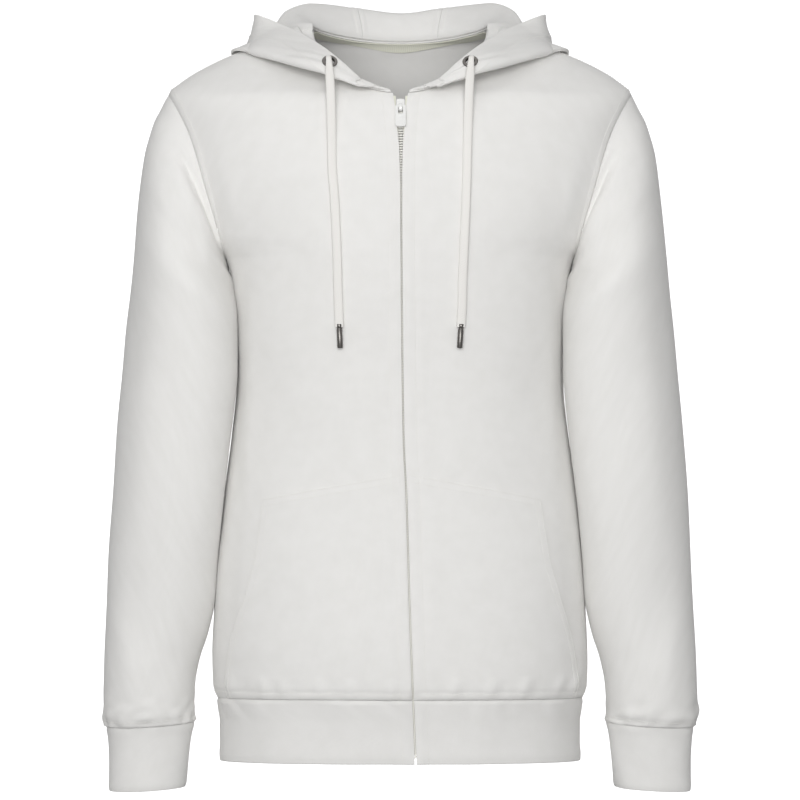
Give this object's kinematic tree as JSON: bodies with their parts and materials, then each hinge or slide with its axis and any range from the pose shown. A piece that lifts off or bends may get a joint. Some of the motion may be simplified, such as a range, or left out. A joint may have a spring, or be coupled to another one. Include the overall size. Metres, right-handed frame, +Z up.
{
  "type": "zip up hoodie",
  "caption": "Long-sleeved full-zip hoodie in plain sweat jersey, in its hollow worn form, with a hood lying down behind, slanted pockets, a drawcord and banded cuffs and hem.",
  "frame": {"origin": "the point between the wearer's shoulders, level with the back neck seam", "axes": "+Z up, +X to the wearer's left (the viewer's right), front faces -Y"},
  "size_m": [0.5916, 0.2804, 0.7953],
  "materials": {
    "sweat_jersey": "matte brushed cotton jersey, off-white",
    "cord_jersey": "matte flat jersey cord, off-white",
    "twill_tape": "matte woven tape, cream",
    "zip_teeth": "satin moulded plastic, off-white",
    "zip_enamel": "satin enamel, off-white",
    "gunmetal": "polished dark plated metal"
  },
  "bodies": {
    "hoodie": {"back": "sweat_jersey", "waistband": "sweat_jersey", "hood_centre": "sweat_jersey", "neck_tape": "twill_tape", "front_left": "sweat_jersey", "pocket_left": "sweat_jersey", "sleeve_left": "sweat_jersey", "cuff_left": "sweat_jersey", "hood_left": "sweat_jersey", "eyelet_left": "gunmetal", "cord_left": "cord_jersey", "tip_left": "gunmetal", "zip_tape_left": "twill_tape", "front_right": "sweat_jersey", "pocket_right": "sweat_jersey", "sleeve_right": "sweat_jersey", "cuff_right": "sweat_jersey", "hood_right": "sweat_jersey", "eyelet_right": "gunmetal", "cord_right": "cord_jersey", "tip_right": "gunmetal", "zip_tape_right": "twill_tape", "zip_chain": "zip_teeth", "zip_slider": "zip_enamel"},
    "pull_tab": {"zip_pull": "zip_enamel"}
  },
  "joints": [
    {"name": "pull_tab_swing", "type": "hinge", "parent": "hoodie", "child": "pull_tab", "pos_m": [0.0005, -0.09729, -0.0757], "axis": [-1, 0, 0], "range_deg": [0, 150]}
  ]
}
